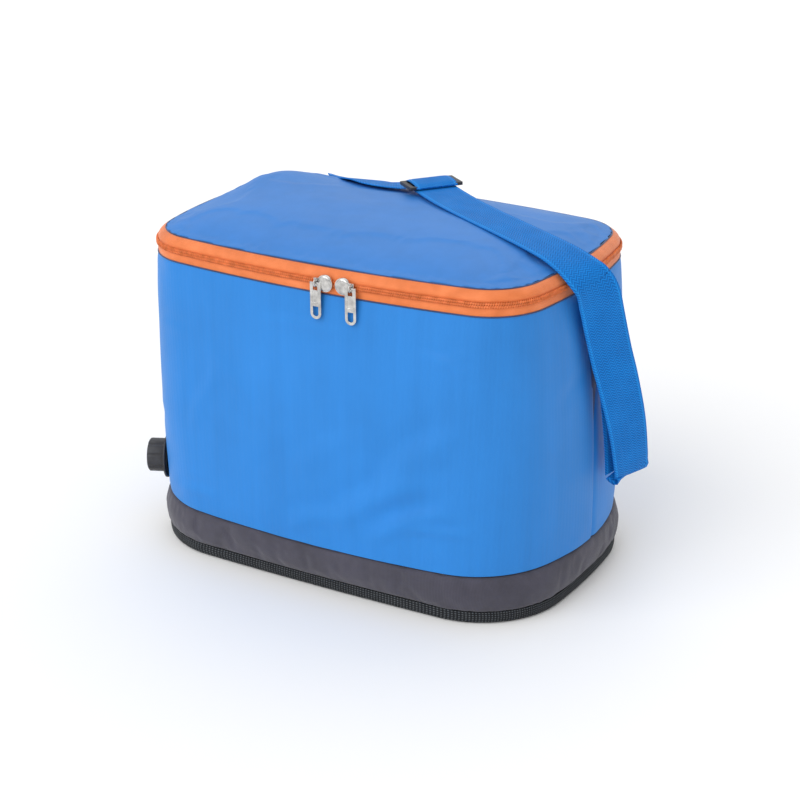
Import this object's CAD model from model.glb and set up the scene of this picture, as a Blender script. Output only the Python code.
import math

import bpy
import numpy as np
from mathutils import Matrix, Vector


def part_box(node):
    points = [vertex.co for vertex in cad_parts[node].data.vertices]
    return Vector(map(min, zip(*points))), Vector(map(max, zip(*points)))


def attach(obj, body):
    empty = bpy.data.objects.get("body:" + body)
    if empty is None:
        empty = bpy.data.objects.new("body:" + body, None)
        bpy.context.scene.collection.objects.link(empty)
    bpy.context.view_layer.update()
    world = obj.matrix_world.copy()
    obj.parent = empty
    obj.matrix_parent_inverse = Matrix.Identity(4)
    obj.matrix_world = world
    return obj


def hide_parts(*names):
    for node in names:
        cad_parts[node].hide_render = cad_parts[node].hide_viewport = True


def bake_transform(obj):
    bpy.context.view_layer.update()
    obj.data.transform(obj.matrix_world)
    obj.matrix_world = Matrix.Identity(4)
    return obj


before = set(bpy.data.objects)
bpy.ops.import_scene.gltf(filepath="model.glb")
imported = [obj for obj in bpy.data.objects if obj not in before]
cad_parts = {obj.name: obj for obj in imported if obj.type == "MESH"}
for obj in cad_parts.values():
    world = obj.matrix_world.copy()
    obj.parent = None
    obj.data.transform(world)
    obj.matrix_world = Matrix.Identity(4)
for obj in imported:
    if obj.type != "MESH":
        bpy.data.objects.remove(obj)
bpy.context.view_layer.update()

# Soft cooler bag: metres, +Z up, front towards -Y.  Most places come from the boxes of the
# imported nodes; shapes that a box can't give have named values or short lists of points.
MM = 0.001

# ------------------------------------------------------------------ sizes from the frame

FOOT_LOW, FOOT_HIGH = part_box("base_panel")
BAND_LOW, BAND_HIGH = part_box("base_band")
TAPE_LOW, TAPE_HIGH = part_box("zip_tape_lower")
PIPE_LOW, PIPE_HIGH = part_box("piping_lower")
UPPER_PIPE_LOW, UPPER_PIPE_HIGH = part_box("piping_upper")

ZIP_WIDTH = TAPE_HIGH.x - TAPE_LOW.x
PIPE_PROUD = 0.6 * MM
ZIP_DEPTH = PIPE_HIGH.y - PIPE_LOW.y - 2 * PIPE_PROUD
ZIP_MIDDLE = (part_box("zip_coil_lower")[1].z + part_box("zip_coil_upper")[0].z) / 2
BAND_BULGE = 3 * MM
WAIST_WIDTH = BAND_HIGH.x - BAND_LOW.x - 2 * BAND_BULGE
WAIST_DEPTH = BAND_HIGH.y - BAND_LOW.y - 2 * BAND_BULGE
FOOT_WIDTH = FOOT_HIGH.x - FOOT_LOW.x
FOOT_DEPTH = FOOT_HIGH.y - FOOT_LOW.y
WAIST_HEIGHT = BAND_HIGH.z
BODY_TOP = PIPE_LOW.z


class Ring:
    """A rounded rectangle whose sides bow outwards, as eight tangent arcs."""

    def __init__(self, width, depth, corner, side_bulge, front_bulge):
        self.terms = np.array([width, depth, corner, side_bulge, front_bulge], float)

    def mix(self, other, share):
        return Ring(*(self.terms * (1 - share) + other.terms * share))

    def grown(self, extra):
        width, depth, corner, side, front = self.terms
        return Ring(width + 2 * extra, depth + 2 * extra, corner + extra, side, front)

    def arcs(self):
        width, depth, corner, side_bulge, front_bulge = self.terms
        cx = width / 2 - side_bulge - corner
        cy = depth / 2 - front_bulge - corner
        front = corner + (cx * cx + front_bulge ** 2) / (2 * front_bulge)
        side = corner + (cy * cy + side_bulge ** 2) / (2 * side_bulge)
        back_y = front - depth / 2
        left_x = side - width / 2
        front_half = math.atan2(cx, cy + back_y)
        side_half = math.atan2(cy, cx + left_x)
        right, up = math.pi / 2, math.pi
        return [(-left_x, 0, side, 0, side_half), (cx, cy, corner, side_half, right - front_half),
                (0, -back_y, front, right - front_half, right + front_half),
                (-cx, cy, corner, right + front_half, up - side_half),
                (left_x, 0, side, up - side_half, up), (left_x, 0, side, up, up + side_half),
                (-cx, -cy, corner, up + side_half, 3 * right - front_half),
                (0, back_y, front, 3 * right - front_half, 3 * right + front_half),
                (cx, -cy, corner, 3 * right + front_half, 4 * right - side_half),
                (-left_x, 0, side, 4 * right - side_half, 4 * right)]

    def points(self, counts):
        """Points and outward normals, anticlockwise from the middle of the right side."""
        side_count, corner_count, front_count = counts
        numbers = [side_count, corner_count, front_count, corner_count, side_count] * 2
        places, normals = [], []
        for (x, y, radius, start, end), count in zip(self.arcs(), numbers):
            angle = np.linspace(start, end, count, endpoint=False)
            normal = np.stack([np.cos(angle), np.sin(angle)], 1)
            normals.append(normal)
            places.append(np.array([x, y]) + radius * normal)
        return np.concatenate(places), np.concatenate(normals)


ZIP_RING = Ring(ZIP_WIDTH, ZIP_DEPTH, 57 * MM, 5.6 * MM, 8.9 * MM)
WAIST_RING = Ring(WAIST_WIDTH, WAIST_DEPTH, 90 * MM, 8 * MM, 7.4 * MM)
FOOT_RING = Ring(FOOT_WIDTH, FOOT_DEPTH, 86 * MM, 2 * MM, 2 * MM)
LEAN_START = 301 * MM
LEAN_RISE = UPPER_PIPE_HIGH.z - LEAN_START
LEAN_REACH = 10.5 * MM
COUNTS = (22, 22, 72)
COLUMNS = 2 * (2 * COUNTS[0] + 2 * COUNTS[1] + COUNTS[2])

# ------------------------------------------------------------------ mesh helpers


def smooth(low, high, value):
    """A smooth step from 0 at low to 1 at high."""
    share = np.clip((value - low) / (high - low), 0, 1)
    return share * share * (3 - 2 * share)


def hump(value, centre, width):
    return np.exp(-(((value - centre) / width) ** 2))


def lean(height):
    """How far the cloth above the zip has curled in towards the lid at a height."""
    share = np.clip((height - LEAN_START) / LEAN_RISE, 0, 1)
    return LEAN_REACH * (1 - np.sqrt(1 - (0.98 * share) ** 2))


RIM_INSET = float(lean(UPPER_PIPE_HIGH.z))


def distance_along(path):
    """How far along a path each of its points is."""
    return np.concatenate([[0], np.cumsum(np.linalg.norm(np.diff(path, axis=0), axis=1))])


def unit(rows):
    """Rows of vectors, each brought to length 1."""
    return rows / np.linalg.norm(rows, axis=1, keepdims=True)


def places_of(thing):
    """A mesh's vertices, as rows of x, y and z."""
    places = np.zeros(len(thing.data.vertices) * 3)
    thing.data.vertices.foreach_get("co", places)
    return places.reshape(-1, 3)


def new_object(name, data):
    """An object in the scene, holding a mesh, a lamp or a camera."""
    thing = bpy.data.objects.new(name, data)
    bpy.context.scene.collection.objects.link(thing)
    return thing


def set_cloth_axes(mesh, uvs):
    """Cloth coordinates in metres, one pair per vertex."""
    layer = mesh.uv_layers.get("cloth") or mesh.uv_layers.new(name="cloth")
    corner_vertex = np.zeros(len(mesh.loops), np.int32)
    mesh.loops.foreach_get("vertex_index", corner_vertex)
    layer.data.foreach_set("uv", np.asarray(uvs, float)[corner_vertex].ravel())


def mesh_object(name, vertices, faces, uvs=None, sharp=False):
    """A mesh from arrays; uvs hold one pair per vertex, in metres of cloth."""
    mesh = bpy.data.meshes.new(name)
    mesh.from_pydata([tuple(v) for v in np.asarray(vertices, float)], [], faces)
    if uvs is not None:
        set_cloth_axes(mesh, uvs)
    mesh.polygons.foreach_set("use_smooth", [not sharp] * len(mesh.polygons))
    mesh.validate()
    mesh.update()
    return new_object(name, mesh)


def grid_faces(rows, columns, around=True, closed=False, flip=False, skip=None):
    """Quads over a grid whose columns go around and whose rows may close up too."""
    faces = []
    for row in range(rows if closed else rows - 1):
        if row == skip:
            continue
        after = (row + 1) % rows
        for column in range(columns if around else columns - 1):
            turn = (column + 1) % columns
            a, b = row * columns + column, row * columns + turn
            c, d = after * columns + turn, after * columns + column
            faces.append((a, d, c, b) if flip else (a, b, c, d))
    return faces


def closed_sheet(name, outer, inner, wrap=False, uvs=None):
    """A sheet of cloth from two grids of rows by columns, joined along every open edge."""
    rows, columns = outer.shape[:2]
    index = np.arange(rows * columns).reshape(rows, columns)
    shift = rows * columns
    faces = grid_faces(rows, columns, around=wrap)
    faces += [tuple(corner + shift for corner in face[::-1]) for face in faces]
    if wrap:
        edges = [list(index[0]), list(index[-1, ::-1])]
    else:
        edges = [list(index[0]) + list(index[1:, -1]) + list(index[-1, -2::-1])
                 + list(index[-2:0:-1, 0])]
    for edge in edges:
        for a, b in zip(edge, edge[1:] + edge[:1]):
            faces.append((b, a, a + shift, b + shift))
    vertices = np.concatenate([outer.reshape(-1, 3), inner.reshape(-1, 3)])
    both = None
    if uvs is not None:
        both = np.concatenate([uvs.reshape(-1, 2)] * 2)
    piece = mesh_object(name, vertices, faces, both)
    piece.data.set_sharp_from_angle(angle=math.radians(50))
    return piece


def tube(name, path, across, radius, sides=8, closed=True, squash=1.0):
    """A cord along a path; across gives a level direction square to the path."""
    count = len(path)
    angle = np.arange(sides) * 2 * math.pi / sides
    up = np.array([0.0, 0.0, 1.0])
    rings = (path[:, None, :] + radius * np.cos(angle)[None, :, None] * across[:, None, :]
             + radius * squash * np.sin(angle)[None, :, None] * up)
    faces = grid_faces(count, sides, closed=closed, flip=True)
    if not closed:
        faces.append(tuple(range(sides)))
        faces.append(tuple((count - 1) * sides + side for side in reversed(range(sides))))
    uvs = np.zeros((count, sides, 2))
    uvs[:, :, 0] = distance_along(path)[:, None]
    uvs[:, :, 1] = (angle * radius)[None, :]
    return mesh_object(name, rings.reshape(-1, 3), faces, uvs.reshape(-1, 2))


def join(name, parts):
    """One object made of several."""
    bpy.ops.object.select_all(action="DESELECT")
    for part in parts:
        part.select_set(True)
    bpy.context.view_layer.objects.active = parts[0]
    bpy.ops.object.join()
    parts[0].name = name
    return parts[0]


def apply_modifiers(thing):
    """Swap a piece's mesh for what its modifiers make of it."""
    graph = bpy.context.evaluated_depsgraph_get()
    made = bpy.data.meshes.new_from_object(thing.evaluated_get(graph))
    thing.modifiers.clear()
    thing.data = made
    return thing


def bevelled_copy(name, node, width, segments=2):
    """A copy of a CAD node with its sharp edges rounded, to stand for that node."""
    thing = new_object(name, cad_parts[node].data.copy())
    weld = thing.modifiers.new("weld", "WELD")
    weld.merge_threshold = 0.00001
    bevel = thing.modifiers.new("bevel", "BEVEL")
    bevel.width = width
    bevel.segments = segments
    bevel.limit_method = "ANGLE"
    bevel.angle_limit = math.radians(35)
    apply_modifiers(thing)
    thing.data.polygons.foreach_set("use_smooth", [True] * len(thing.data.polygons))
    thing.data.set_sharp_from_angle(angle=math.radians(32))
    return thing


def put(piece, material, body=None, nodes=()):
    """Give a piece its material, finish slot, body and the nodes that it stands for."""
    piece.data.materials.clear()
    piece.data.materials.append(material)
    if body:
        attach(piece, body)
    if nodes:
        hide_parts(*nodes)
    return piece


# ------------------------------------------------------------------ material helpers


class Shader:
    """A small helper that adds nodes to one material."""

    def __init__(self, name, color, roughness, **sockets):
        self.material = bpy.data.materials.new(name)
        self.material.use_nodes = True
        self.tree = self.material.node_tree
        self.shader = self.tree.nodes["Principled BSDF"]
        self.shader.inputs["Base Color"].default_value = (*color, 1)
        self.shader.inputs["Roughness"].default_value = roughness
        for socket, value in sockets.items():
            self.shader.inputs[socket.replace("_", " ")].default_value = value

    def node(self, kind, **settings):
        node = self.tree.nodes.new(kind)
        for key, value in settings.items():
            if key.startswith("in_"):
                node.inputs[key[3:].replace("_", " ")].default_value = value
            else:
                setattr(node, key, value)
        return node

    def link(self, source, target):
        self.tree.links.new(source, target)

    def math(self, operation, first, second=None, third=None):
        node = self.node("ShaderNodeMath", operation=operation)
        for index, value in enumerate((first, second, third)):
            if value is None:
                continue
            if isinstance(value, (int, float)):
                node.inputs[index].default_value = value
            else:
                self.link(value, node.inputs[index])
        return node.outputs[0]

    def cloth_axes(self):
        """Metres along and across the cloth."""
        uv = self.node("ShaderNodeUVMap", uv_map="cloth")
        split = self.node("ShaderNodeSeparateXYZ")
        self.link(uv.outputs[0], split.inputs[0])
        return split.outputs[0], split.outputs[1]

    def place(self):
        return self.node("ShaderNodeTexCoord").outputs["Object"]

    def noise(self, scale, detail=3, roughness=0.5, stretch=None, distortion=0.0):
        noise = self.node("ShaderNodeTexNoise", in_Scale=scale, in_Detail=detail,
                          in_Roughness=roughness, in_Distortion=distortion)
        place = self.place()
        if stretch:
            mapping = self.node("ShaderNodeMapping")
            mapping.inputs["Scale"].default_value = stretch
            self.link(place, mapping.inputs["Vector"])
            place = mapping.outputs[0]
        self.link(place, noise.inputs["Vector"])
        return noise.outputs["Fac"]

    def ribs(self, axis, pitch):
        """A wave between 0 and 1 along one cloth axis."""
        value = self.math("MULTIPLY", axis, 2 * math.pi / pitch)
        return self.math("MULTIPLY_ADD", self.math("SINE", value), 0.5, 0.5)

    def ramp(self, value, *stops):
        """A colour ramp; each stop is (position, colour)."""
        ramp = self.node("ShaderNodeValToRGB")
        elements = ramp.color_ramp.elements
        while len(elements) < len(stops):
            elements.new(0.5)
        for element, (position, color) in zip(elements, stops):
            element.position = position
            element.color = (*color, 1)
        self.link(value, ramp.inputs["Fac"])
        return ramp.outputs["Color"]

    def spread(self, value, low, high):
        mapped = self.node("ShaderNodeMapRange")
        mapped.inputs["To Min"].default_value = low
        mapped.inputs["To Max"].default_value = high
        self.link(value, mapped.inputs["Value"])
        return mapped.outputs["Result"]

    def bump(self, height, strength, distance, below=None):
        bump = self.node("ShaderNodeBump", in_Strength=strength, in_Distance=distance)
        self.link(height, bump.inputs["Height"])
        if below is not None:
            self.link(below, bump.inputs["Normal"])
        return bump.outputs["Normal"]

    def color(self, source):
        self.link(source, self.shader.inputs["Base Color"])

    def roughness(self, source):
        self.link(source, self.shader.inputs["Roughness"])

    def normal(self, source):
        self.link(source, self.shader.inputs["Normal"])


def shade(color, factor):
    return tuple(min(1.0, part * factor) for part in color)


def drifting(name, color, roughness, tone, dark, pale, gloss, smoothest, dullest, **sockets):
    """A finish whose colour and roughness drift with two noises, each (scale, detail)."""
    made = Shader(name, color, roughness, **sockets)
    made.color(made.ramp(made.noise(*tone), (0.3, dark), (0.7, pale)))
    made.roughness(made.spread(made.noise(*gloss), smoothest, dullest))
    return made


PANEL_BLUE = (0.022, 0.212, 0.615)
LID_BLUE = (0.036, 0.200, 0.575)
WEBBING_BLUE = (0.003, 0.168, 0.585)
PIPING_BLUE = (0.010, 0.045, 0.150)
ZIP_ORANGE = (0.790, 0.182, 0.036)
BAND_GREY = (0.056, 0.052, 0.075)
BASE_BLACK = (0.022, 0.025, 0.030)


def coated_nylon(name, color, rib_pitch, rib_depth):
    """Coated nylon: a fine woven ground, faint upright ribs, soft creases, dull sheen."""
    made = Shader(name, color, 0.50, Sheen_Weight=0.01, Sheen_Roughness=0.45,
                  Specular_IOR_Level=0.25)
    along, across = made.cloth_axes()
    weave = made.math("MULTIPLY", made.ribs(along, 0.9 * MM), made.ribs(across, 0.9 * MM))
    ribs = made.ribs(along, rib_pitch)
    patches = made.noise(9, 4, 0.55)
    streaks = made.noise(60, 3, 0.6, stretch=(1, 1, 0.05))
    tone = made.math("MULTIPLY_ADD", patches, 0.6, made.math("MULTIPLY", streaks, 0.4))
    made.color(made.ramp(tone, (0.3, shade(color, 0.90)), (0.5, color), (0.72, shade(color, 1.10))))
    made.roughness(made.spread(made.noise(25, 4), 0.40, 0.54))
    creases = made.bump(made.noise(16, 3, 0.5, distortion=0.4), 0.22, 1.2 * MM)
    ribbed = made.bump(ribs, 0.35, rib_depth, creases)
    made.normal(made.bump(weave, 0.45, 0.07 * MM, ribbed))
    return made.material


def webbing_material():
    """Twill webbing: slanted ribs, paler selvedges and a light fuzz."""
    made = Shader("webbing", WEBBING_BLUE, 0.62, Sheen_Weight=0.02, Sheen_Roughness=0.4,
                  Specular_IOR_Level=0.15)
    along, across = made.cloth_axes()
    slant = made.math("ADD", along, made.math("PINGPONG", across, 3.0 * MM))
    twill = made.ribs(slant, 2.8 * MM)
    threads = made.ribs(across, 1.3 * MM)
    height = made.math("MULTIPLY_ADD", twill, 0.75, made.math("MULTIPLY", threads, 0.25))
    from_edge = made.math("ABSOLUTE", made.math("SUBTRACT", made.math("ABSOLUTE", across),
                                                18.6 * MM))
    line = made.math("LESS_THAN", from_edge, 0.9 * MM)
    wear = made.math("MULTIPLY_ADD", made.noise(45, 4), 0.30, made.math("MULTIPLY", height, 0.6))
    lifted = made.math("MULTIPLY_ADD", line, 0.22, wear)
    made.color(made.ramp(lifted, (0.15, shade(WEBBING_BLUE, 0.58)), (0.45, WEBBING_BLUE),
                         (0.95, (0.014, 0.300, 0.800))))
    made.roughness(made.spread(made.noise(60, 3), 0.52, 0.72))
    made.normal(made.bump(height, 0.9, 0.35 * MM))
    return made.material


def tape_material():
    """Zip tape: a tight herringbone with the coil's stitching beside it."""
    made = Shader("zip_tape", ZIP_ORANGE, 0.6, Sheen_Weight=0.3, Sheen_Roughness=0.4)
    along, across = made.cloth_axes()
    rows = made.ribs(across, 1.5 * MM)
    slant = made.ribs(made.math("ADD", along, made.math("MULTIPLY", rows, 0.5 * MM)), 0.95 * MM)
    tone = made.math("MULTIPLY_ADD", slant, 0.4, made.math("MULTIPLY", made.noise(70, 3), 0.6))
    made.color(made.ramp(tone, (0.25, shade(ZIP_ORANGE, 0.80)), (0.5, ZIP_ORANGE),
                         (0.8, (0.93, 0.27, 0.09))))
    made.roughness(made.spread(made.noise(40, 3), 0.5, 0.7))
    made.normal(made.bump(made.math("ADD", slant, rows), 0.6, 0.12 * MM))
    return made.material


def coil_material():
    """Orange nylon coil, slightly glossy and a little darker in its grooves."""
    return drifting("zip_coil", ZIP_ORANGE, 0.38, (180, 2), shade(ZIP_ORANGE, 0.78),
                    (0.90, 0.24, 0.07), (120, 2), 0.30, 0.48, Specular_IOR_Level=0.45).material


def band_material():
    """Matt grey polyester over padding: fine plain weave with pale flecks."""
    made = Shader("band_fabric", BAND_GREY, 0.78, Sheen_Weight=0.20, Sheen_Roughness=0.5)
    along, across = made.cloth_axes()
    weave = made.math("MULTIPLY", made.ribs(along, 1.0 * MM), made.ribs(across, 1.0 * MM))
    tone = made.math("MULTIPLY_ADD", made.noise(38, 5, 0.65), 0.65,
                     made.math("MULTIPLY", weave, 0.35))
    made.color(made.ramp(tone, (0.2, shade(BAND_GREY, 0.62)), (0.48, BAND_GREY),
                         (0.85, shade(BAND_GREY, 1.55))))
    made.roughness(made.spread(made.noise(30, 3), 0.70, 0.88))
    creases = made.bump(made.noise(30, 3, 0.5, distortion=0.6), 0.12, 1.0 * MM)
    made.normal(made.bump(weave, 0.8, 0.14 * MM, creases))
    return made.material


def base_material():
    """Coarse ballistic weave: a basket of thick black yarns with light between them."""
    made = Shader("base_weave", BASE_BLACK, 0.62, Specular_IOR_Level=0.2)
    along, across = made.cloth_axes()
    warp = made.ribs(along, 2.4 * MM)
    weft = made.ribs(across, 2.0 * MM)
    weave = made.math("MULTIPLY", warp, weft)
    tone = made.math("MULTIPLY_ADD", made.noise(90, 3), 0.3, made.math("MULTIPLY", weave, 0.9))
    made.color(made.ramp(tone, (0.1, shade(BASE_BLACK, 0.35)), (0.4, BASE_BLACK),
                         (0.95, (0.120, 0.130, 0.140))))
    made.roughness(made.spread(weave, 0.75, 0.5))
    made.normal(made.bump(weave, 1.0, 0.6 * MM))
    return made.material


def piping_material():
    """Dark blue binding tape, wrapped on the slant round its cord."""
    made = drifting("piping", PIPING_BLUE, 0.55, (50, 3), shade(PIPING_BLUE, 0.7),
                    shade(PIPING_BLUE, 1.35), (80, 2), 0.45, 0.65, Sheen_Weight=0.2)
    along, across = made.cloth_axes()
    wrap = made.ribs(made.math("ADD", along, across), 1.2 * MM)
    made.normal(made.bump(wrap, 0.6, 0.12 * MM))
    return made.material


def nickel_material():
    """Bright plated metal with faint brushing and handling marks."""
    made = drifting("nickel", (0.56, 0.55, 0.53), 0.2, (220, 3), (0.40, 0.39, 0.38),
                    (0.68, 0.67, 0.65), (500, 3, 0.5, (1, 1, 6)), 0.12, 0.30, Metallic=1.0)
    made.normal(made.bump(made.noise(700, 2), 0.12, 0.05 * MM))
    return made.material


def plastic_material():
    """Black moulded plastic with a fine spark-eroded grain and paler worn edges."""
    made = Shader("black_plastic", (0.022, 0.022, 0.025), 0.4, Specular_IOR_Level=0.35)
    grain = made.noise(900, 2)
    wear = made.node("ShaderNodeNewGeometry").outputs["Pointiness"]
    worn = made.math("MULTIPLY_ADD", made.noise(120, 3), 0.25, wear)
    made.color(made.ramp(worn, (0.55, (0.016, 0.016, 0.019)), (0.70, (0.045, 0.045, 0.05)),
                         (0.85, (0.10, 0.10, 0.11))))
    made.roughness(made.spread(made.noise(70, 3), 0.30, 0.52))
    made.normal(made.bump(grain, 0.35, 0.05 * MM))
    return made.material


def rubber_material():
    made = drifting("black_rubber", (0.016, 0.016, 0.017), 0.8, (90, 3), (0.010, 0.010, 0.011),
                    (0.028, 0.028, 0.030), (60, 3), 0.68, 0.9)
    made.normal(made.bump(made.noise(600, 2), 0.4, 0.06 * MM))
    return made.material


def lining_material():
    """Silver heat-sealed lining: crinkled film with a soft metal glint."""
    made = Shader("lining", (0.62, 0.64, 0.67), 0.34, Metallic=0.55)
    cells = made.node("ShaderNodeTexVoronoi", feature="SMOOTH_F1", in_Scale=55)
    made.link(made.place(), cells.inputs["Vector"])
    crinkle = made.math("ADD", cells.outputs["Distance"], made.noise(28, 5, 0.6, distortion=1.0))
    made.color(made.ramp(made.noise(18, 4), (0.3, (0.50, 0.52, 0.55)), (0.7, (0.72, 0.74, 0.77))))
    made.roughness(made.spread(crinkle, 0.26, 0.46))
    made.normal(made.bump(crinkle, 0.45, 1.2 * MM))
    return made.material


def foam_material():
    made = drifting("foam", (0.82, 0.83, 0.85), 0.9, (20, 3), (0.74, 0.75, 0.77),
                    (0.86, 0.87, 0.89), (90, 2), 0.84, 0.96)
    cells = made.node("ShaderNodeTexVoronoi", in_Scale=420)
    made.link(made.place(), cells.inputs["Vector"])
    made.normal(made.bump(cells.outputs["Distance"], 0.6, 0.5 * MM))
    return made.material


def board_material():
    made = drifting("board", (0.05, 0.05, 0.052), 0.6, (35, 4), (0.035, 0.035, 0.037),
                    (0.065, 0.065, 0.068), (70, 3), 0.5, 0.7)
    made.normal(made.bump(made.noise(300, 2), 0.3, 0.1 * MM))
    return made.material


nylon = coated_nylon("panel_nylon", PANEL_BLUE, 4.5 * MM, 0.17 * MM)
lid_nylon = coated_nylon("lid_nylon", LID_BLUE, 2.2 * MM, 0.03 * MM)
webbing = webbing_material()
tape = tape_material()
coil = coil_material()
band_fabric = band_material()
base_weave = base_material()
piping = piping_material()
nickel = nickel_material()
black_plastic = plastic_material()
black_rubber = rubber_material()
lining = lining_material()
foam = foam_material()
board = board_material()

# ------------------------------------------------------------------ body panels


def body_ring(height):
    """The bag's outline at a height between the band and the zip."""
    share = (height - WAIST_HEIGHT) / (ZIP_MIDDLE - WAIST_HEIGHT)
    return WAIST_RING.mix(ZIP_RING, share)


def crease(along, height, start, end, width, depth):
    """A soft fold in cloth along a line from start to end, fading at both ends."""
    run = np.array(end) - np.array(start)
    length = np.linalg.norm(run)
    run = run / length
    ahead = (along - start[0]) * run[0] + (height - start[1]) * run[1]
    aside = (height - start[1]) * run[0] - (along - start[0]) * run[1]
    aside = aside - 0.04 * length * np.sin(ahead / length * 5)
    fade = smooth(0, 0.3, ahead / length) * (1 - smooth(0.7, 1, ahead / length))
    return depth * fade * (hump(aside, 0, width) - 0.55 * hump(aside, 1.5 * width, width))


FRONT_CREASES = [((20, 62), (128, 150), 11, 3.0), ((60, 58), (150, 118), 9, 2.8),
                 ((-30, 56), (40, 92), 9, 1.9), ((70, 104), (146, 196), 12, 3.0),
                 ((-140, 120), (-96, 214), 8, 1.3), ((-60, 250), (40, 262), 5, 0.9),
                 ((96, 250), (160, 236), 5, 1.4), ((-170, 60), (-110, 74), 5, 1.3),
                 ((100, 80), (168, 92), 5, 1.6), ((-20, 110), (60, 178), 10, 1.2)]


def panel_offset(along, height, angle, seed):
    """How far the cloth stands out from the plain outline, in metres."""
    along, height = along / MM, height / MM
    share = np.clip((height - WAIST_HEIGHT / MM) / ((BODY_TOP - WAIST_HEIGHT) / MM), 0, 1)
    fullness = np.sin(math.pi * share) ** 0.7
    side = np.abs(np.cos(angle)) ** 2
    plain = fullness * (2.2 + 2.0 * side) + 1.5 * smooth(0.7, 0.93, share) * fullness
    offset = plain.copy()
    generator = np.random.default_rng(seed)
    for _ in range(16):
        centre = generator.uniform(along.min(), along.max())
        level = generator.uniform(70, 270)
        reach = generator.uniform(30, 80)
        slope = generator.uniform(-1.2, 1.2)
        end = (centre + reach, level + reach * slope)
        depth = generator.uniform(-1.0, 1.0)
        offset += fullness * crease(along, height, (centre, level), end,
                                    generator.uniform(5, 11), depth)
    # short puckers run away from both sewn edges
    for edge, sign in ((WAIST_HEIGHT / MM, 1), (BODY_TOP / MM, -1)):
        wave = np.sin(along / 11 + 2 * np.sin(along / 37)) + 0.6 * np.sin(along / 6.3 + 1)
        away = np.clip(sign * (height - edge), 0, None)
        offset += 0.35 * wave * hump(away, 7, 7)
    # both panels meet at the side seams, so their own creases fade out there
    seam = np.minimum(along - along.min(), along.max() - along)
    return plain + (offset - plain) * (1 - hump(seam, 0, 14))


def make_panel(front):
    """One half of the outer wall, from one side seam round to the other."""
    rows = 74
    heights = WAIST_HEIGHT + (BODY_TOP - WAIST_HEIGHT) * np.linspace(0, 1, rows)
    half = COLUMNS // 2
    pick = np.arange(half, COLUMNS + 1) % COLUMNS if front else np.arange(0, half + 1)
    places, normals = [], []
    for height in heights:
        place, normal = body_ring(height).grown(-0.4 * MM).points(COUNTS)
        places.append(place[pick])
        normals.append(normal[pick])
    places, normals = np.array(places), np.array(normals)
    along = distance_along(places[rows // 2])
    along = np.repeat((along - along[-1] / 2)[None, :], rows, 0)
    level = np.repeat(heights[:, None], places.shape[1], 1)
    angle = np.arctan2(normals[:, :, 1], normals[:, :, 0])
    offset = panel_offset(along, level, angle, 3 if front else 8)
    if front:
        for start, end, width, depth in FRONT_CREASES:
            offset += crease(along / MM, level / MM, start, end, width, depth)
    seam = np.minimum(along - along.min(), along.max() - along) / MM
    offset -= 1.6 * hump(seam, 0, 2.5) * (offset > -1)
    outer = np.zeros((*level.shape, 3))
    outer[:, :, :2] = places + normals * (offset * MM)[:, :, None]
    outer[:, :, 2] = level
    inner = outer.copy()
    inner[:, :, :2] -= normals * 1.2 * MM
    uvs = np.stack([along, level], 2)
    name = "front_panel_cloth" if front else "back_panel_cloth"
    piece = closed_sheet(name, outer, inner, uvs=uvs)
    put(piece, nylon, "root", ["front_panel" if front else "back_panel"])


# ------------------------------------------------------------------ padded pieces


def ring_solid(name, section, ring_of):
    """A closed solid ring: section holds (inset, height) pairs round the cross-section."""
    rows = []
    for inset, height in section:
        place, normal = ring_of(height).grown(-inset).points(COUNTS)
        rows.append(np.column_stack([place, np.full(len(place), height)]))
    grid = np.array(rows)
    return mesh_object(name, grid.reshape(-1, 3), grid_faces(*grid.shape[:2], closed=True))


def cloth_axes_from_place(thing, top=False):
    """Cloth coordinates for a wrapped piece: round the bag and up, or flat from above."""
    places = places_of(thing)
    if top:
        uvs = places[:, :2]
    else:
        around = np.arctan2(places[:, 1] / WAIST_DEPTH, places[:, 0] / WAIST_WIDTH)
        uvs = np.stack([around * (WAIST_WIDTH + WAIST_DEPTH) / 4, places[:, 2]], 1)
    set_cloth_axes(thing.data, uvs)


CLOTH_STEPS = 20
CLOTH_SETTINGS = {"vertex_group_mass": "sewn", "use_pressure": True, "tension_stiffness": 25,
                  "compression_stiffness": 25, "bending_stiffness": 0.4, "quality": 6}


def puffed(thing, held, voxel, pressure, spare, most):
    """Fill a sewn piece: the held points stay, the rest swells and wrinkles as cloth."""
    remesh = thing.modifiers.new("remesh", "REMESH")
    remesh.mode = "VOXEL"
    remesh.voxel_size = voxel
    apply_modifiers(thing)
    before = places_of(thing)
    group = thing.vertex_groups.new(name="sewn")
    group.add([int(i) for i in np.flatnonzero(held(before))], 1.0, "REPLACE")
    cloth = thing.modifiers.new("cloth", "CLOTH")
    for key, value in CLOTH_SETTINGS.items():
        setattr(cloth.settings, key, value)
    cloth.settings.uniform_pressure_force = pressure
    cloth.settings.effector_weights.gravity = 0
    cloth.settings.shrink_min = -spare
    cloth.collision_settings.use_collision = False
    cloth.point_cache.frame_start = 1
    cloth.point_cache.frame_end = CLOTH_STEPS
    for step in range(1, CLOTH_STEPS + 1):
        bpy.context.scene.frame_set(step)
    apply_modifiers(thing)
    bpy.context.scene.frame_set(1)
    move = places_of(thing) - before
    size = np.linalg.norm(move, axis=1, keepdims=True)
    move *= np.minimum(1, most / np.maximum(size, 1e-9))
    thing.data.vertices.foreach_set("co", (before + move).ravel())
    subdivision = thing.modifiers.new("round", "SUBSURF")
    subdivision.levels = subdivision.render_levels = 1
    apply_modifiers(thing)
    thing.data.polygons.foreach_set("use_smooth", [True] * len(thing.data.polygons))
    return thing


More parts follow.
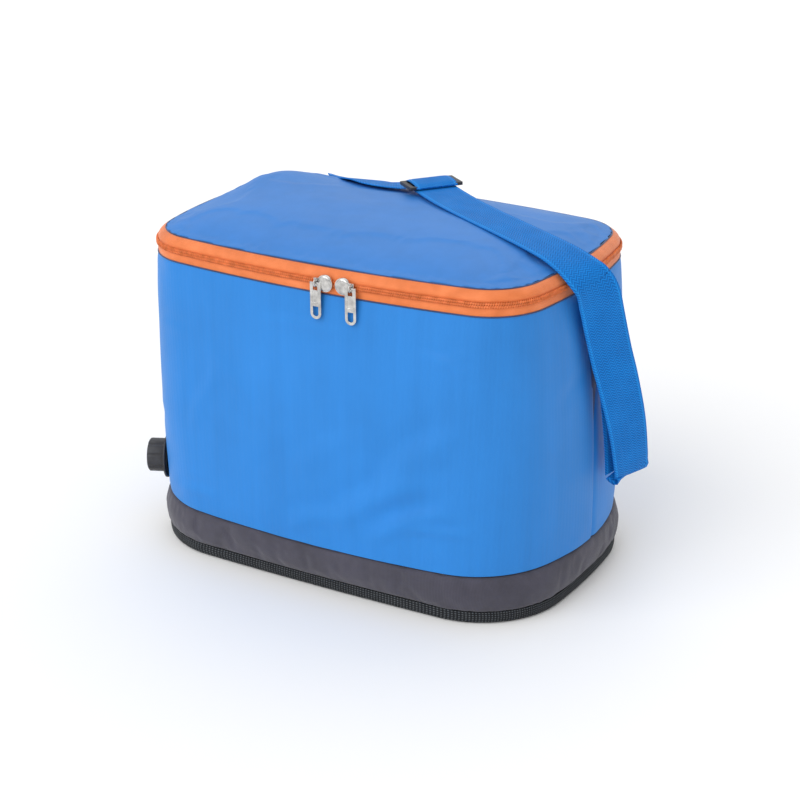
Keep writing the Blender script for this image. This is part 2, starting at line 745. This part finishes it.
def make_band():
    """The padded grey band round the foot of the bag."""
    low, high = BAND_LOW.z, BAND_HIGH.z
    turns = np.linspace(0, 1, 15)
    section = []
    for turn in turns:
        height = low + (high - low) * turn
        lift = math.sin(math.pi * turn) ** 0.55
        section.append((0.2 * MM - 3.6 * MM * lift, height))
    for turn in turns[::-1]:
        section.append((6 * MM, low + (high - low) * turn))

    def ring_of(height):
        return FOOT_RING.mix(WAIST_RING, (height - low) / (high - low))

    piece = ring_solid("padded_band", section, ring_of)

    def held(places):
        return (places[:, 2] < low + 2.5 * MM) | (places[:, 2] > high - 2.5 * MM)

    puffed(piece, held, 4 * MM, 4.0, 0.015, 1.8 * MM)
    cloth_axes_from_place(piece)
    put(piece, band_fabric, "root", ["base_band"])


def lid_ring(inset):
    """The lid's outline at a distance in from the zip's outline."""
    past_rim = max(0, inset - RIM_INSET)
    width, depth = ZIP_WIDTH - 2 * inset, ZIP_DEPTH - 2 * inset
    front = 8.9 * MM - 0.045 * past_rim
    side = 5.6 * MM - 0.018 * past_rim
    corner = 57 * MM - min(inset, RIM_INSET) - 0.25 * past_rim
    return Ring(width, depth, min(corner, 0.8 * (depth / 2 - front)), side, front)


CROWN_HEIGHT = 19.8 * MM
CROWN_REACH = 42 * MM
BUNCH_X, BUNCH_Y = -166 * MM, 62 * MM
BUNCH_HEIGHT = 10 * MM
BUNCH_RADIUS = 45 * MM


def lid_row(inset, sink):
    """One ring of the lid's crown: steepest at the rim, nearly flat in the middle."""
    place, _ = lid_ring(inset).points(COUNTS)
    past_rim = max(0, inset - RIM_INSET)
    crown = CROWN_HEIGHT * (1 - math.exp(-past_rim / CROWN_REACH))
    rim = 1.2 * MM * math.exp(-past_rim / (4 * MM))
    # the padding bunches up in the back left corner
    away = np.hypot(place[:, 0] - BUNCH_X, place[:, 1] - BUNCH_Y)
    steep = 1 - math.exp(-past_rim / (9 * MM))
    bunched = BUNCH_HEIGHT * steep * hump(away, 0, BUNCH_RADIUS)
    height = UPPER_PIPE_HIGH.z - 0.5 * MM + crown + rim + bunched - sink
    return np.column_stack([place, height])


def lid_solid(name, insets, sink, bottom):
    """A closed solid under the lid's crown, with a flat bottom."""
    rows = [lid_row(inset, sink) for inset in insets]
    for row in rows[::-1]:
        rows.append(np.column_stack([row[:, :2], np.full(len(row), bottom)]))
    grid = np.array(rows)
    count, columns = grid.shape[:2]
    middle = len(insets) - 1
    faces = [tuple(range(middle * columns, (middle + 1) * columns))]
    faces.append(tuple(range((middle + 1) * columns, (middle + 2) * columns))[::-1])
    faces += grid_faces(count, columns, closed=True, skip=middle)
    return mesh_object(name, grid.reshape(-1, 3), faces)


def make_lid():
    """The padded cover of the lid, and the foam inside it."""
    insets = RIM_INSET + np.concatenate([np.linspace(-0.3, 12, 10),
                                         np.linspace(16, 120, 25)]) * MM
    cover = lid_solid("lid_cover_cloth", insets, 0, UPPER_PIPE_LOW.z)

    def held(places):
        return places[:, 2] < UPPER_PIPE_HIGH.z + 2.0 * MM

    puffed(cover, held, 3 * MM, 0.4, 0.006, 0.7 * MM)
    cloth_axes_from_place(cover, top=True)
    put(cover, lid_nylon, "lid", ["lid_cover"])
    filling = lid_solid("lid_foam_block", insets[8:], 3 * MM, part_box("lid_foam")[0].z)
    put(filling, foam, "lid", ["lid_foam"])


def make_base():
    """The base tray: a flat floor that turns up round the foot in coarse weave."""
    top = FOOT_HIGH.z
    fillet = 3.5 * MM
    section = [(2.5 * MM, top), (0.1 * MM, top + 0.4 * MM)]
    for turn in np.linspace(0, 1, 6):
        height = top - 1 * MM - (top - fillet - 1 * MM) * turn
        section.append((-0.5 * MM * math.sin(math.pi * turn), height))
    for turn in np.linspace(0, math.pi / 2, 6)[1:]:
        section.append((fillet * (1 - math.cos(turn)), fillet * (1 - math.sin(turn))))
    for inset in (14, 45, 85, 118):
        section.append((inset * MM, 0.0))
    rows = []
    for inset, height in section:
        ring = FOOT_RING.grown(-inset) if inset < 80 * MM else lid_ring(inset)
        place, _ = ring.points(COUNTS)
        rows.append(np.column_stack([place, np.full(len(place), height)]))
    grid = np.array(rows)
    inside = grid * np.array([0.985, 0.978, 1.0]) + np.array([0, 0, 2.0 * MM])
    inside[0] = grid[0] * np.array([0.99, 0.985, 1.0])
    piece = closed_sheet("base_tray", grid, inside, wrap=True)
    piece.data.polygons.foreach_set("use_smooth", [True] * len(piece.data.polygons))
    mesh = piece.data
    cloth_axes_from_place(piece)
    layer = mesh.uv_layers["cloth"]
    for polygon in mesh.polygons:
        if abs(polygon.normal.z) > 0.8:
            for loop in polygon.loop_indices:
                place = mesh.vertices[mesh.loops[loop].vertex_index].co
                layer.data[loop].uv = (place.x, place.y)
    # one plain layer closes the middle of the floor
    middle = lid_ring(112 * MM)
    place, _ = middle.points((6, 8, 30))
    count = len(place)
    vertices = [(x, y, 0.2 * MM) for x, y in place] + [(x, y, 1.8 * MM) for x, y in place]
    faces = [tuple(range(count))[::-1], tuple(range(count, 2 * count))]
    faces += [(i, (i + 1) % count, count + (i + 1) % count, count + i) for i in range(count)]
    patch = mesh_object("base_middle", vertices, faces, np.tile(place, (2, 1)), sharp=True)
    piece = join("base_tray", [piece, patch])
    put(piece, base_weave, "root", ["base_panel"])


# ------------------------------------------------------------------ zip and piping

HINGE_HALF = 130 * MM


def zip_line(count, grow=0.0, closed=False):
    """Evenly spaced points round the zip's outline, without the hinge at the back."""
    place, normal = ZIP_RING.grown(grow).points((160, 200, 600))
    start = int(np.argmax((place[:, 1] > 0) & (place[:, 0] < -HINGE_HALF)))
    order = np.arange(start, start + len(place)) % len(place)
    place, normal = place[order], normal[order]
    if not closed:
        keep = ~((place[:, 1] > 0) & (np.abs(place[:, 0]) < HINGE_HALF))
        place, normal = place[keep], normal[keep]
    else:
        place, normal = np.vstack([place, place[:1]]), np.vstack([normal, normal[:1]])
    steps = distance_along(place)
    wanted = np.linspace(0, steps[-1], count, endpoint=not closed)
    line = np.stack([np.interp(wanted, steps, place[:, i]) for i in range(2)], 1)
    away = np.stack([np.interp(wanted, steps, normal[:, i]) for i in range(2)], 1)
    return line, unit(away), wanted


def raised(line, height):
    return np.column_stack([line, np.full(len(line), height)])


def flat_across(away):
    return np.column_stack([away, np.zeros(len(away))])


def make_piping():
    """The corded edges above and below the zip."""
    for word, body, inset, height in (("lower", "root", 0.2 * MM, PIPE_HIGH.z - 0.6 * MM),
                                      ("upper", "lid", RIM_INSET, UPPER_PIPE_HIGH.z)):
        line, away, _ = zip_line(700, grow=-inset, closed=True)
        cord = tube(f"piping_{word}_cord", raised(line, height), flat_across(away),
                    0.65 * MM, sides=10)
        put(cord, piping, body, [f"piping_{word}"])


def make_zip_tapes():
    """Two woven tapes beside the coils; the upper one curls in towards the lid."""
    for word, body, far, near in (("lower", "root", PIPE_LOW.z + 0.2 * MM, 299.0 * MM),
                                  ("upper", "lid", UPPER_PIPE_HIGH.z - 0.2 * MM, 301.0 * MM)):
        line, away, along = zip_line(620)
        rows, across = [], []
        for share in np.linspace(0, 1, 13):
            height = far + (near - far) * share
            inset = 0.7 * MM - 0.5 * MM * math.sin(math.pi * share) + 0.5 * MM * share ** 3
            place = line - away * (inset + lean(height))
            rows.append(raised(place, height))
            across.append(np.full(len(along), (near - far) * share))
        outer = np.array(rows)
        inner = outer - flat_across(away)[None, :, :] * 0.8 * MM
        uvs = np.stack([np.tile(along, (len(rows), 1)), np.array(across)], 2)
        if far > near:
            outer, inner, uvs = outer[::-1], inner[::-1], uvs[::-1]
        piece = closed_sheet(f"zip_tape_{word}_cloth", outer, inner, uvs=uvs)
        put(piece, tape, body, [f"zip_tape_{word}"])


def make_coils():
    """Wound nylon coils: each is one strand looped over the edge of its tape."""
    pitch, samples, sides = 2.1 * MM, 8, 5
    _, _, long = zip_line(400)
    turns = int(long[-1] / pitch)
    for word, body, centre, phase in (("lower", "root", ZIP_MIDDLE - 1.15 * MM, 0.0),
                                      ("upper", "lid", ZIP_MIDDLE + 1.15 * MM, 0.5)):
        line, away, along = zip_line(turns * samples, grow=0.15 * MM)
        angle = 2 * math.pi * (np.arange(len(line)) / samples + phase)
        path = raised(line, centre)
        path[:, :2] += away * (0.75 * MM * np.cos(angle))[:, None]
        path[:, 2] += 1.45 * MM * np.sin(angle)
        ahead = unit(np.gradient(path, axis=0))
        across = unit(np.cross(ahead, flat_across(away)))
        third = np.cross(ahead, across)
        turn = np.arange(sides) * 2 * math.pi / sides
        radius = 0.55 * MM
        rings = (path[:, None, :] + radius * np.cos(turn)[None, :, None] * across[:, None, :]
                 + radius * np.sin(turn)[None, :, None] * third[:, None, :])
        strand = mesh_object(f"zip_coil_{word}_strand", rings.reshape(-1, 3),
                             grid_faces(len(path), sides, flip=True))
        core_line, core_away, _ = zip_line(500)
        core = tube(f"zip_coil_{word}_core", raised(core_line, centre), flat_across(core_away),
                    0.7 * MM, sides=8, closed=False, squash=1.35)
        strand = join(f"zip_coil_{word}_strand", [strand, core])
        put(strand, coil, body, [f"zip_coil_{word}"])


def make_hinge_strip():
    """The cloth at the back that the lid turns on, sewn between both pipings."""
    place, normal = ZIP_RING.grown(-0.6 * MM).points((40, 60, 260))
    keep = (place[:, 1] > 0) & (np.abs(place[:, 0]) < HINGE_HALF + 1 * MM)
    place, normal = place[keep], normal[keep]
    low, high = PIPE_HIGH.z - 0.6 * MM, UPPER_PIPE_LOW.z + 0.6 * MM
    rows, levels = [], np.linspace(low, high, 22)
    for height in levels:
        share = (height - low) / (high - low)
        inset = 0.9 * MM * math.sin(math.pi * share) + lean(height)
        rows.append(raised(place - normal * inset, height))
    outer = np.array(rows)
    inner = outer - flat_across(normal)[None, :, :] * 1.0 * MM
    along = distance_along(place)
    uvs = np.stack([np.tile(along, (len(rows), 1)), np.repeat(levels[:, None], len(along), 1)], 2)
    piece = closed_sheet("hinge_strip_cloth", outer, inner, uvs=uvs)
    put(piece, nylon, nodes=["hinge_strip_lower", "hinge_strip_upper"])
    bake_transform(piece)


# ------------------------------------------------------------------ shoulder strap


def rounded_path(points, step, lead=None, trail=None):
    """A smooth line through points, and how far along the points each sample is."""
    points = np.array(points, float)
    count = len(points)
    lead = 2 * points[0] - points[1] if lead is None else lead
    trail = 2 * points[-1] - points[-2] if trail is None else trail
    ends = np.vstack([lead, points, trail])
    samples, shares = [], []
    for index in range(count - 1):
        before, a, b, after = ends[index:index + 4]
        number = max(2, int(np.linalg.norm(b - a) / step))
        for t in np.arange(number) / number:
            samples.append(0.5 * (2 * a + (b - before) * t
                                  + (2 * before - 5 * a + 4 * b - after) * t * t
                                  + (3 * a - before - 3 * b + after) * t ** 3))
            shares.append(index + t)
    samples.append(points[-1])
    shares.append(count - 1)
    return np.array(samples), np.array(shares)


STRAP_WIDTH = 42 * MM
STRAP_THICK = 1.9 * MM


def strap(name, points, faces, step=3.0, ripple=0.0, lead=None, trail=None,
          body=None, nodes=()):
    """Webbing along points, facing the given ways, in millimetres."""
    path, shares = rounded_path(points, step, lead, trail)
    face = np.stack([np.interp(shares, np.arange(len(points)), np.array(faces, float)[:, i])
                     for i in range(3)], 1)
    along = unit(np.gradient(path, axis=0))
    across = unit(np.cross(face, along))
    face = np.cross(along, across)
    travelled = distance_along(path)
    columns = np.linspace(-1, 1, 17)
    half, thick = STRAP_WIDTH / 2 / MM, STRAP_THICK / 2 / MM
    outer = np.zeros((len(path), len(columns), 3))
    inner = outer.copy()
    uvs = np.zeros((len(path), len(columns), 2))
    for index, share in enumerate(columns):
        thin = thick * (0.45 + 0.55 * (1 - share ** 8))
        dish = ripple * np.sin(travelled / 23 + 2.1 * share) * share
        dish = dish * (1 - np.exp(-travelled / 20))
        centre = path + across * share * half + face * dish[:, None]
        outer[:, index] = centre + face * thin
        inner[:, index] = centre - face * thin
        uvs[:, index, 0] = travelled
        uvs[:, index, 1] = share * half
    piece = closed_sheet(name, outer * MM, inner * MM, uvs=uvs * MM)
    put(piece, webbing, body, nodes)
    return piece


def facing(turn):
    """A level direction, turned from straight right towards the front."""
    return (math.cos(math.radians(turn)), -math.sin(math.radians(turn)), 0)


def leaning(angle):
    """A direction that leans from straight up (0) over the lid's edge (90)."""
    level = math.sin(math.radians(angle))
    right, front, _ = facing(36)
    return (right * level, front * level, math.cos(math.radians(angle)))


def wall_facing(point):
    """The level direction in which the rounded wall faces a point, in millimetres."""
    near = np.clip(point[:2], (-140, -62), (140, 62))
    away = np.array(point[:2]) - near
    return (*(away / np.linalg.norm(away)), 0)


SPAN_POINTS = [(-2, 81.8, 332.4), (14, 69.5, 332.4), (30, 57.5, 332.2), (52, 42, 332),
               (88, 20.5, 331.2), (124, 1.5, 330.0), (160, -15.5, 327.6), (187, -25, 323.4),
               (205, -30.5, 317.4), (217, -32, 309.6), (223, -29, 301)]
SPAN_LEANS = (0, 0, 0, 0, 0, 2, 6, 12, 26, 46, 64)
DROP_POINTS = [(223, -29, 301), (226.5, -23.5, 287), (229, -16, 262), (233, -7.5, 230),
               (237, 0, 203), (241.5, 12, 160), (243.2, 20.5, 125), (243, 24.2, 112),
               (241.6, 25.6, 107), (238.2, 26.2, 105), (234.8, 25.6, 107), (233.2, 24.2, 112)]
DROP_TURNS = (36, 36, 34, 32, 28, 24, 22)
RETURN_POINTS = [(217.6, 0, 288), (219.8, 2.4, 279), (223, 7, 240), (227, 13, 195),
                 (231, 19, 150), (233.2, 24.2, 112)]
RETURN_TURNS = (0, 0, 4, 10, 16, 22)


def make_strap():
    """One shoulder strap, in the stretches that move with each body."""
    strap("strap_span_webbing", SPAN_POINTS, [leaning(a) for a in SPAN_LEANS],
          trail=DROP_POINTS[1], body="lid", nodes=["strap_span"])
    right, front, _ = facing(22)
    faces = [leaning(64)] + [facing(turn) for turn in DROP_TURNS]
    faces += [(0.7 * right, 0.7 * front, -0.7), (0, 0, -1), (-0.7 * right, -0.7 * front, -0.7)]
    faces.append((-right, -front, 0))
    drop = strap("strap_drop_webbing", DROP_POINTS, faces,
                 ripple=0.5, lead=SPAN_POINTS[-2], nodes=["strap_drop"])
    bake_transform(drop)
    inner = strap("strap_return_webbing", RETURN_POINTS, [facing(a) for a in RETURN_TURNS],
                  ripple=0.5, nodes=["strap_return"])
    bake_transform(inner)


BACK_POINTS = [(-126, 147, 284), (-130, 149, 240), (-142, 149, 200), (-166, 143, 170),
               (-198, 120, 152), (-219, 84, 156), (-226, 48, 186), (-224, 20, 226),
               (-219.5, 5, 262), (-215.0, 1, 288)]
TAIL_POINTS = [(0, 81, 332.6), (-14, 88, 329.5), (-30, 87.5, 327), (-48, 86, 325.5),
               (-62, 88, 324.5), (-80, 97, 322.5), (-100, 109, 317.5), (-116, 121, 313),
               (-125, 132, 307.5), (-129, 141, 300.5), (-128.5, 145, 293), (-126, 147, 284)]
TAIL_FACES = [(0, 0, 1), (0, 0.05, 1), (0, 0.1, 1), (0, 0.16, 1), (0, 0.2, 1),
              (-0.05, 0.28, 1), (-0.1, 0.35, 1), (-0.1, 0.5, 0.9), (-0.05, 0.8, 0.7),
              (0, 1, 0.4), (0, 1, 0.15)]


def make_back_strap():
    """Behind the bag: from the left anchor, sagging, then up over the lid's back edge."""
    strap("strap_back_webbing", BACK_POINTS, [wall_facing(p) for p in BACK_POINTS],
          ripple=0.6, body="root", nodes=["strap_back"])
    faces = TAIL_FACES + [wall_facing(BACK_POINTS[0])]
    tail = strap("strap_tail_webbing", TAIL_POINTS, faces,
                 nodes=["strap_tail"])
    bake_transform(tail)


def make_anchors():
    """Sewn webbing patches on both sides, under the zip."""
    for word, side in (("left", -1), ("right", 1)):
        low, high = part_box(f"strap_anchor_{word}")
        inner = min(abs(low.x), abs(high.x)) / MM
        outer = max(abs(low.x), abs(high.x)) / MM
        top, bottom = high.z / MM - 1, low.z / MM + 1
        points = [(side * (inner + 1.4), 0, top), (side * (outer - 0.6), 0, bottom)]
        strap(f"anchor_{word}_webbing", points, [(side, 0, 0.12)] * 2,
              body="root", nodes=[f"strap_anchor_{word}"])


# ------------------------------------------------------------------ hard parts


SLIDER_SHIFT = 26.5 * MM
SLIDER_GAP = 18 * MM
DISC_FRONT = 3.5 * MM
DISC_RADIUS = 7.6 * MM


def dome(name, centre, normal, radius, height):
    """A low polished dome on a slider's front plate."""
    normal = Vector(normal).normalized()
    side = Vector((0, 0, 1)).cross(normal).normalized()
    up = normal.cross(side)
    rings, turns = 12, 40
    vertices = []
    for ring in range(rings + 1):
        share = ring / rings
        reach = math.sin(share * math.pi / 2)
        lift = math.cos(share * math.pi / 2) ** 0.8
        for turn in range(turns):
            angle = 2 * math.pi * turn / turns
            place = centre + normal * height * lift
            place = place + side * radius * reach * math.cos(angle)
            place = place + up * radius * reach * math.sin(angle)
            vertices.append(tuple(place))
    faces = grid_faces(rings + 1, turns, flip=True)
    faces.append(tuple(rings * turns + turn for turn in range(turns)))
    return mesh_object(name, vertices, faces)


def make_zip_hardware():
    """Nickel sliders with domed fronts, and flat pulls."""
    centre_x, centre_y, radius, _, _ = ZIP_RING.arcs()[7]
    for word, along in (("left", SLIDER_SHIFT - SLIDER_GAP / 2),
                        ("right", SLIDER_SHIFT + SLIDER_GAP / 2)):
        angle = 1.5 * math.pi + along / radius
        normal = (math.cos(angle), math.sin(angle), 0)
        reach = radius + DISC_FRONT - 0.2 * MM
        centre = Vector((centre_x + reach * normal[0], centre_y + reach * normal[1], ZIP_MIDDLE))
        cap = dome(f"slider_{word}_dome", centre, normal, DISC_RADIUS - 0.7 * MM, 1.3 * MM)
        put(cap, nickel, f"slider_{word}")
        slider = bevelled_copy(f"slider_{word}_metal", f"slider_{word}", 0.45 * MM, 3)
        put(slider, nickel, f"slider_{word}", [f"slider_{word}"])
        pull = bevelled_copy(f"pull_{word}_metal", f"pull_{word}", 0.3 * MM, 3)
        put(pull, nickel, f"pull_{word}", [f"pull_{word}"])


def make_drain_fitting():
    """The moulded drain: flange and stem, gasket, nut inside, seal and knob."""
    for node, width, material, slot, body in (
            ("drain_spout", 0.5 * MM, black_plastic, "black_plastic", "root"),
            ("drain_nut", 0.5 * MM, black_plastic, "black_plastic", "root"),
            ("drain_gasket", 0.3 * MM, black_rubber, "black_rubber", "root"),
            ("cap_seal", 0.2 * MM, black_rubber, "black_rubber", "cap_lift"),
            ("drain_cap", 0.7 * MM, black_plastic, "black_plastic", "drain_cap")):
        piece = bevelled_copy(f"{node}_moulded", node, width)
        put(piece, material, body, [node])


def make_adjuster():
    """The black three-bar slide and the webbing loop round its middle bar."""
    frame_piece = bevelled_copy("adjuster_frame_moulded", "adjuster_frame", 0.8 * MM, 3)
    put(frame_piece, black_plastic, "adjuster", ["adjuster_frame"])
    low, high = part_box("adjuster_frame")
    middle = (low + high) / 2 / MM
    along = np.array([44, -33.5, 0.0]) / math.hypot(44, 33.5)
    top = high.z / MM
    points = []
    for reach, height in ((-15, top - 1.6), (-10, top + 0.6), (-4, top + 1.3), (4, top + 1.2),
                          (10, top + 0.4), (15, top - 1.8)):
        points.append(tuple(np.array([middle.x, middle.y, height]) + along * reach))
    strap("adjuster_loop_webbing", points, [(0, 0, 1)] * len(points),
          step=1.5, body="adjuster", nodes=["adjuster_loop"])


def finish_cad_nodes():
    """Inner layers keep their CAD shape with the right cloth and foam finishes."""
    for nodes, material in ((("liner", "lid_lining"), lining), (("base_board",), board),
                            (("floor_foam", "wall_foam_front", "wall_foam_back"), foam)):
        for node in nodes:
            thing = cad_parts[node]
            thing.data.materials.clear()
            thing.data.materials.append(material)
    for word in ("left", "right"):
        for node, material, slot in ((f"seam_binding_{word}", piping, "binding"),
                                     (f"zip_end_tab_{word}", tape, "zip_tape")):
            piece = bevelled_copy(f"{node}_cloth", node, 0.3 * MM)
            cloth_axes_from_place(piece)
            put(piece, material, "root", [node])


# ------------------------------------------------------------------ room and light

FLOOR_DROP = -0.5 * MM
CAMERA_LENS = 84.7
CAMERA_AZIMUTH, CAMERA_ELEVATION = math.radians(30.4), math.radians(22.1)
CAMERA_ROLL = math.radians(-0.4)
CAMERA_DISTANCE = 1.805
CAMERA_TARGET = Vector((9.06, 5.31, 139.5)) * MM
SKY_STRENGTH = 0.74


def aimed(thing, target):
    """Turn a lamp or the camera to face a point."""
    thing.rotation_euler = (Vector(target) - thing.location).to_track_quat("-Z", "Y").to_euler()


def make_camera():
    data = bpy.data.cameras.new("camera")
    data.lens = CAMERA_LENS
    data.sensor_width = 36
    camera = new_object("camera", data)
    bpy.context.scene.camera = camera
    level = math.cos(CAMERA_ELEVATION)
    back = Vector((math.sin(CAMERA_AZIMUTH) * level, -math.cos(CAMERA_AZIMUTH) * level,
                   math.sin(CAMERA_ELEVATION)))
    camera.location = CAMERA_TARGET + back * CAMERA_DISTANCE
    aimed(camera, CAMERA_TARGET)
    camera.rotation_euler.rotate_axis("Z", CAMERA_ROLL)


def sun(name, towards, strength, spread, color=(1, 1, 1)):
    data = bpy.data.lights.new(name, "SUN")
    data.energy = strength
    data.angle = math.radians(spread)
    data.color = color
    thing = new_object(name, data)
    thing.location = -Vector(towards)
    aimed(thing, (0, 0, 0))


def make_room():
    """A white floor under an even sky, with one broad soft light from the front left."""
    far = 14
    floor = mesh_object("floor", [(-far, -far, FLOOR_DROP), (far, -far, FLOOR_DROP),
                                  (far, far, FLOOR_DROP), (-far, far, FLOOR_DROP)],
                        [(0, 1, 2, 3)], sharp=True)
    paper = Shader("floor_paper", (0.97, 0.96, 0.95), 0.95)
    floor.data.materials.append(paper.material)
    world = bpy.data.worlds.new("studio")
    bpy.context.scene.world = world
    world.use_nodes = True
    background = world.node_tree.nodes["Background"]
    background.inputs["Color"].default_value = (0.98, 0.99, 1.0, 1)
    background.inputs["Strength"].default_value = SKY_STRENGTH
    sun("key", (0.30, 0.88, -0.74), 1.45, 60, (0.98, 0.99, 1.0))
    sun("back", (0.2, -0.8, -0.9), 0.5, 60)
    bpy.context.scene.view_settings.view_transform = "Standard"


make_camera()
make_room()
make_panel(front=True)
make_panel(front=False)
make_band()
make_lid()
make_base()
make_piping()
make_zip_tapes()
make_coils()
make_hinge_strip()
make_strap()
make_back_strap()
make_anchors()
make_zip_hardware()
make_drain_fitting()
make_adjuster()
finish_cad_nodes()
